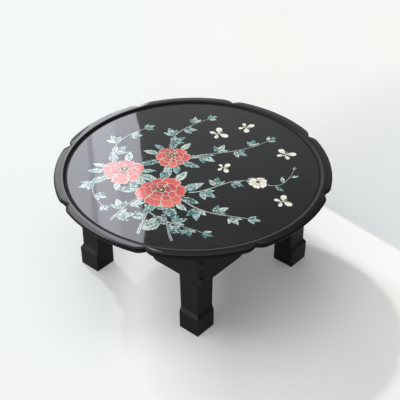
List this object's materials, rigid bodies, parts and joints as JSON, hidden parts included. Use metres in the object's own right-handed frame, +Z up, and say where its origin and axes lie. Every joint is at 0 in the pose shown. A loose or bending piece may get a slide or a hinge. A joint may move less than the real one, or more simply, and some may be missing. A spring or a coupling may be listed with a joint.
{
  "type": "folding low table",
  "caption": "Round black-lacquered low tea table with a lobed rim, sunken inlaid field, finger-jointed skirt and square legs that fold in.",
  "frame": {"origin": "on the floor under the centre of the round top", "axes": "+Z up; the skirt boards run along X and Y, with the front corner of the picture at -X -Y"},
  "size_m": [0.6, 0.6, 0.257],
  "materials": {
    "lacquer_field": "deep high-gloss black lacquer",
    "lacquer_rim": "high-gloss black lacquer",
    "lacquer_base": "satin black lacquer",
    "lacquer_inner": "thin matt dark lacquer over wood",
    "felt": "dense black felt",
    "steel": "satin spring steel",
    "brass": "plain brass",
    "shell_coral": "coral-dyed shell under clear lacquer",
    "shell_crimson": "crimson-dyed shell under clear lacquer",
    "shell_gold": "golden shell",
    "shell_pearl": "iridescent blue-green mother-of-pearl",
    "shell_stem": "pale green mother-of-pearl",
    "shell_cream": "cream mother-of-pearl"
  },
  "bodies": {
    "table": {"field_panel": "lacquer_field", "rim_molding": "lacquer_rim", "under_ring": "lacquer_rim", "batten_near": "lacquer_inner", "batten_far": "lacquer_inner", "apron_front": "lacquer_base", "apron_right": "lacquer_base", "apron_back": "lacquer_base", "apron_left": "lacquer_base", "pivot_block_front": "lacquer_inner", "pivot_block_right": "lacquer_inner", "pivot_block_back": "lacquer_inner", "pivot_block_left": "lacquer_inner", "pivot_pin_front": "steel", "pivot_pin_right": "steel", "pivot_pin_back": "steel", "pivot_pin_left": "steel", "pivot_washer_front": "brass", "pivot_washer_right": "brass", "pivot_washer_back": "brass", "pivot_washer_left": "brass", "catch_spring_front": "steel", "catch_spring_right": "steel", "catch_spring_back": "steel", "catch_spring_left": "steel", "glue_block_front": "lacquer_inner", "glue_block_right": "lacquer_inner", "glue_block_back": "lacquer_inner", "glue_block_left": "lacquer_inner", "spring_screws": "steel", "block_screws": "steel", "batten_screws": "steel", "inlay_petals": "shell_coral", "inlay_inner_petals": "shell_crimson", "inlay_hearts": "shell_gold", "inlay_leaves": "shell_pearl", "inlay_stems": "shell_stem", "inlay_wings": "shell_cream", "inlay_plum": "shell_cream"},
    "leg_front_body": {"leg_front": "lacquer_base", "foot_pad_front": "felt"},
    "leg_right_body": {"leg_right": "lacquer_base", "foot_pad_right": "felt"},
    "leg_back_body": {"leg_back": "lacquer_base", "foot_pad_back": "felt"},
    "leg_left_body": {"leg_left": "lacquer_base", "foot_pad_left": "felt"}
  },
  "joints": [
    {"name": "fold_front", "type": "hinge", "parent": "table", "child": "leg_front_body", "pos_m": [-0.15235, -0.1472, 0.22], "axis": [0, -1, 0], "range_deg": [0, 90]},
    {"name": "fold_right", "type": "hinge", "parent": "table", "child": "leg_right_body", "pos_m": [0.1472, -0.15235, 0.22], "axis": [1, 0, 0], "range_deg": [0, 90]},
    {"name": "fold_back", "type": "hinge", "parent": "table", "child": "leg_back_body", "pos_m": [0.15235, 0.1472, 0.22], "axis": [0, 1, 0], "range_deg": [0, 90]},
    {"name": "fold_left", "type": "hinge", "parent": "table", "child": "leg_left_body", "pos_m": [-0.1472, 0.15235, 0.22], "axis": [-1, 0, 0], "range_deg": [0, 90]}
  ]
}
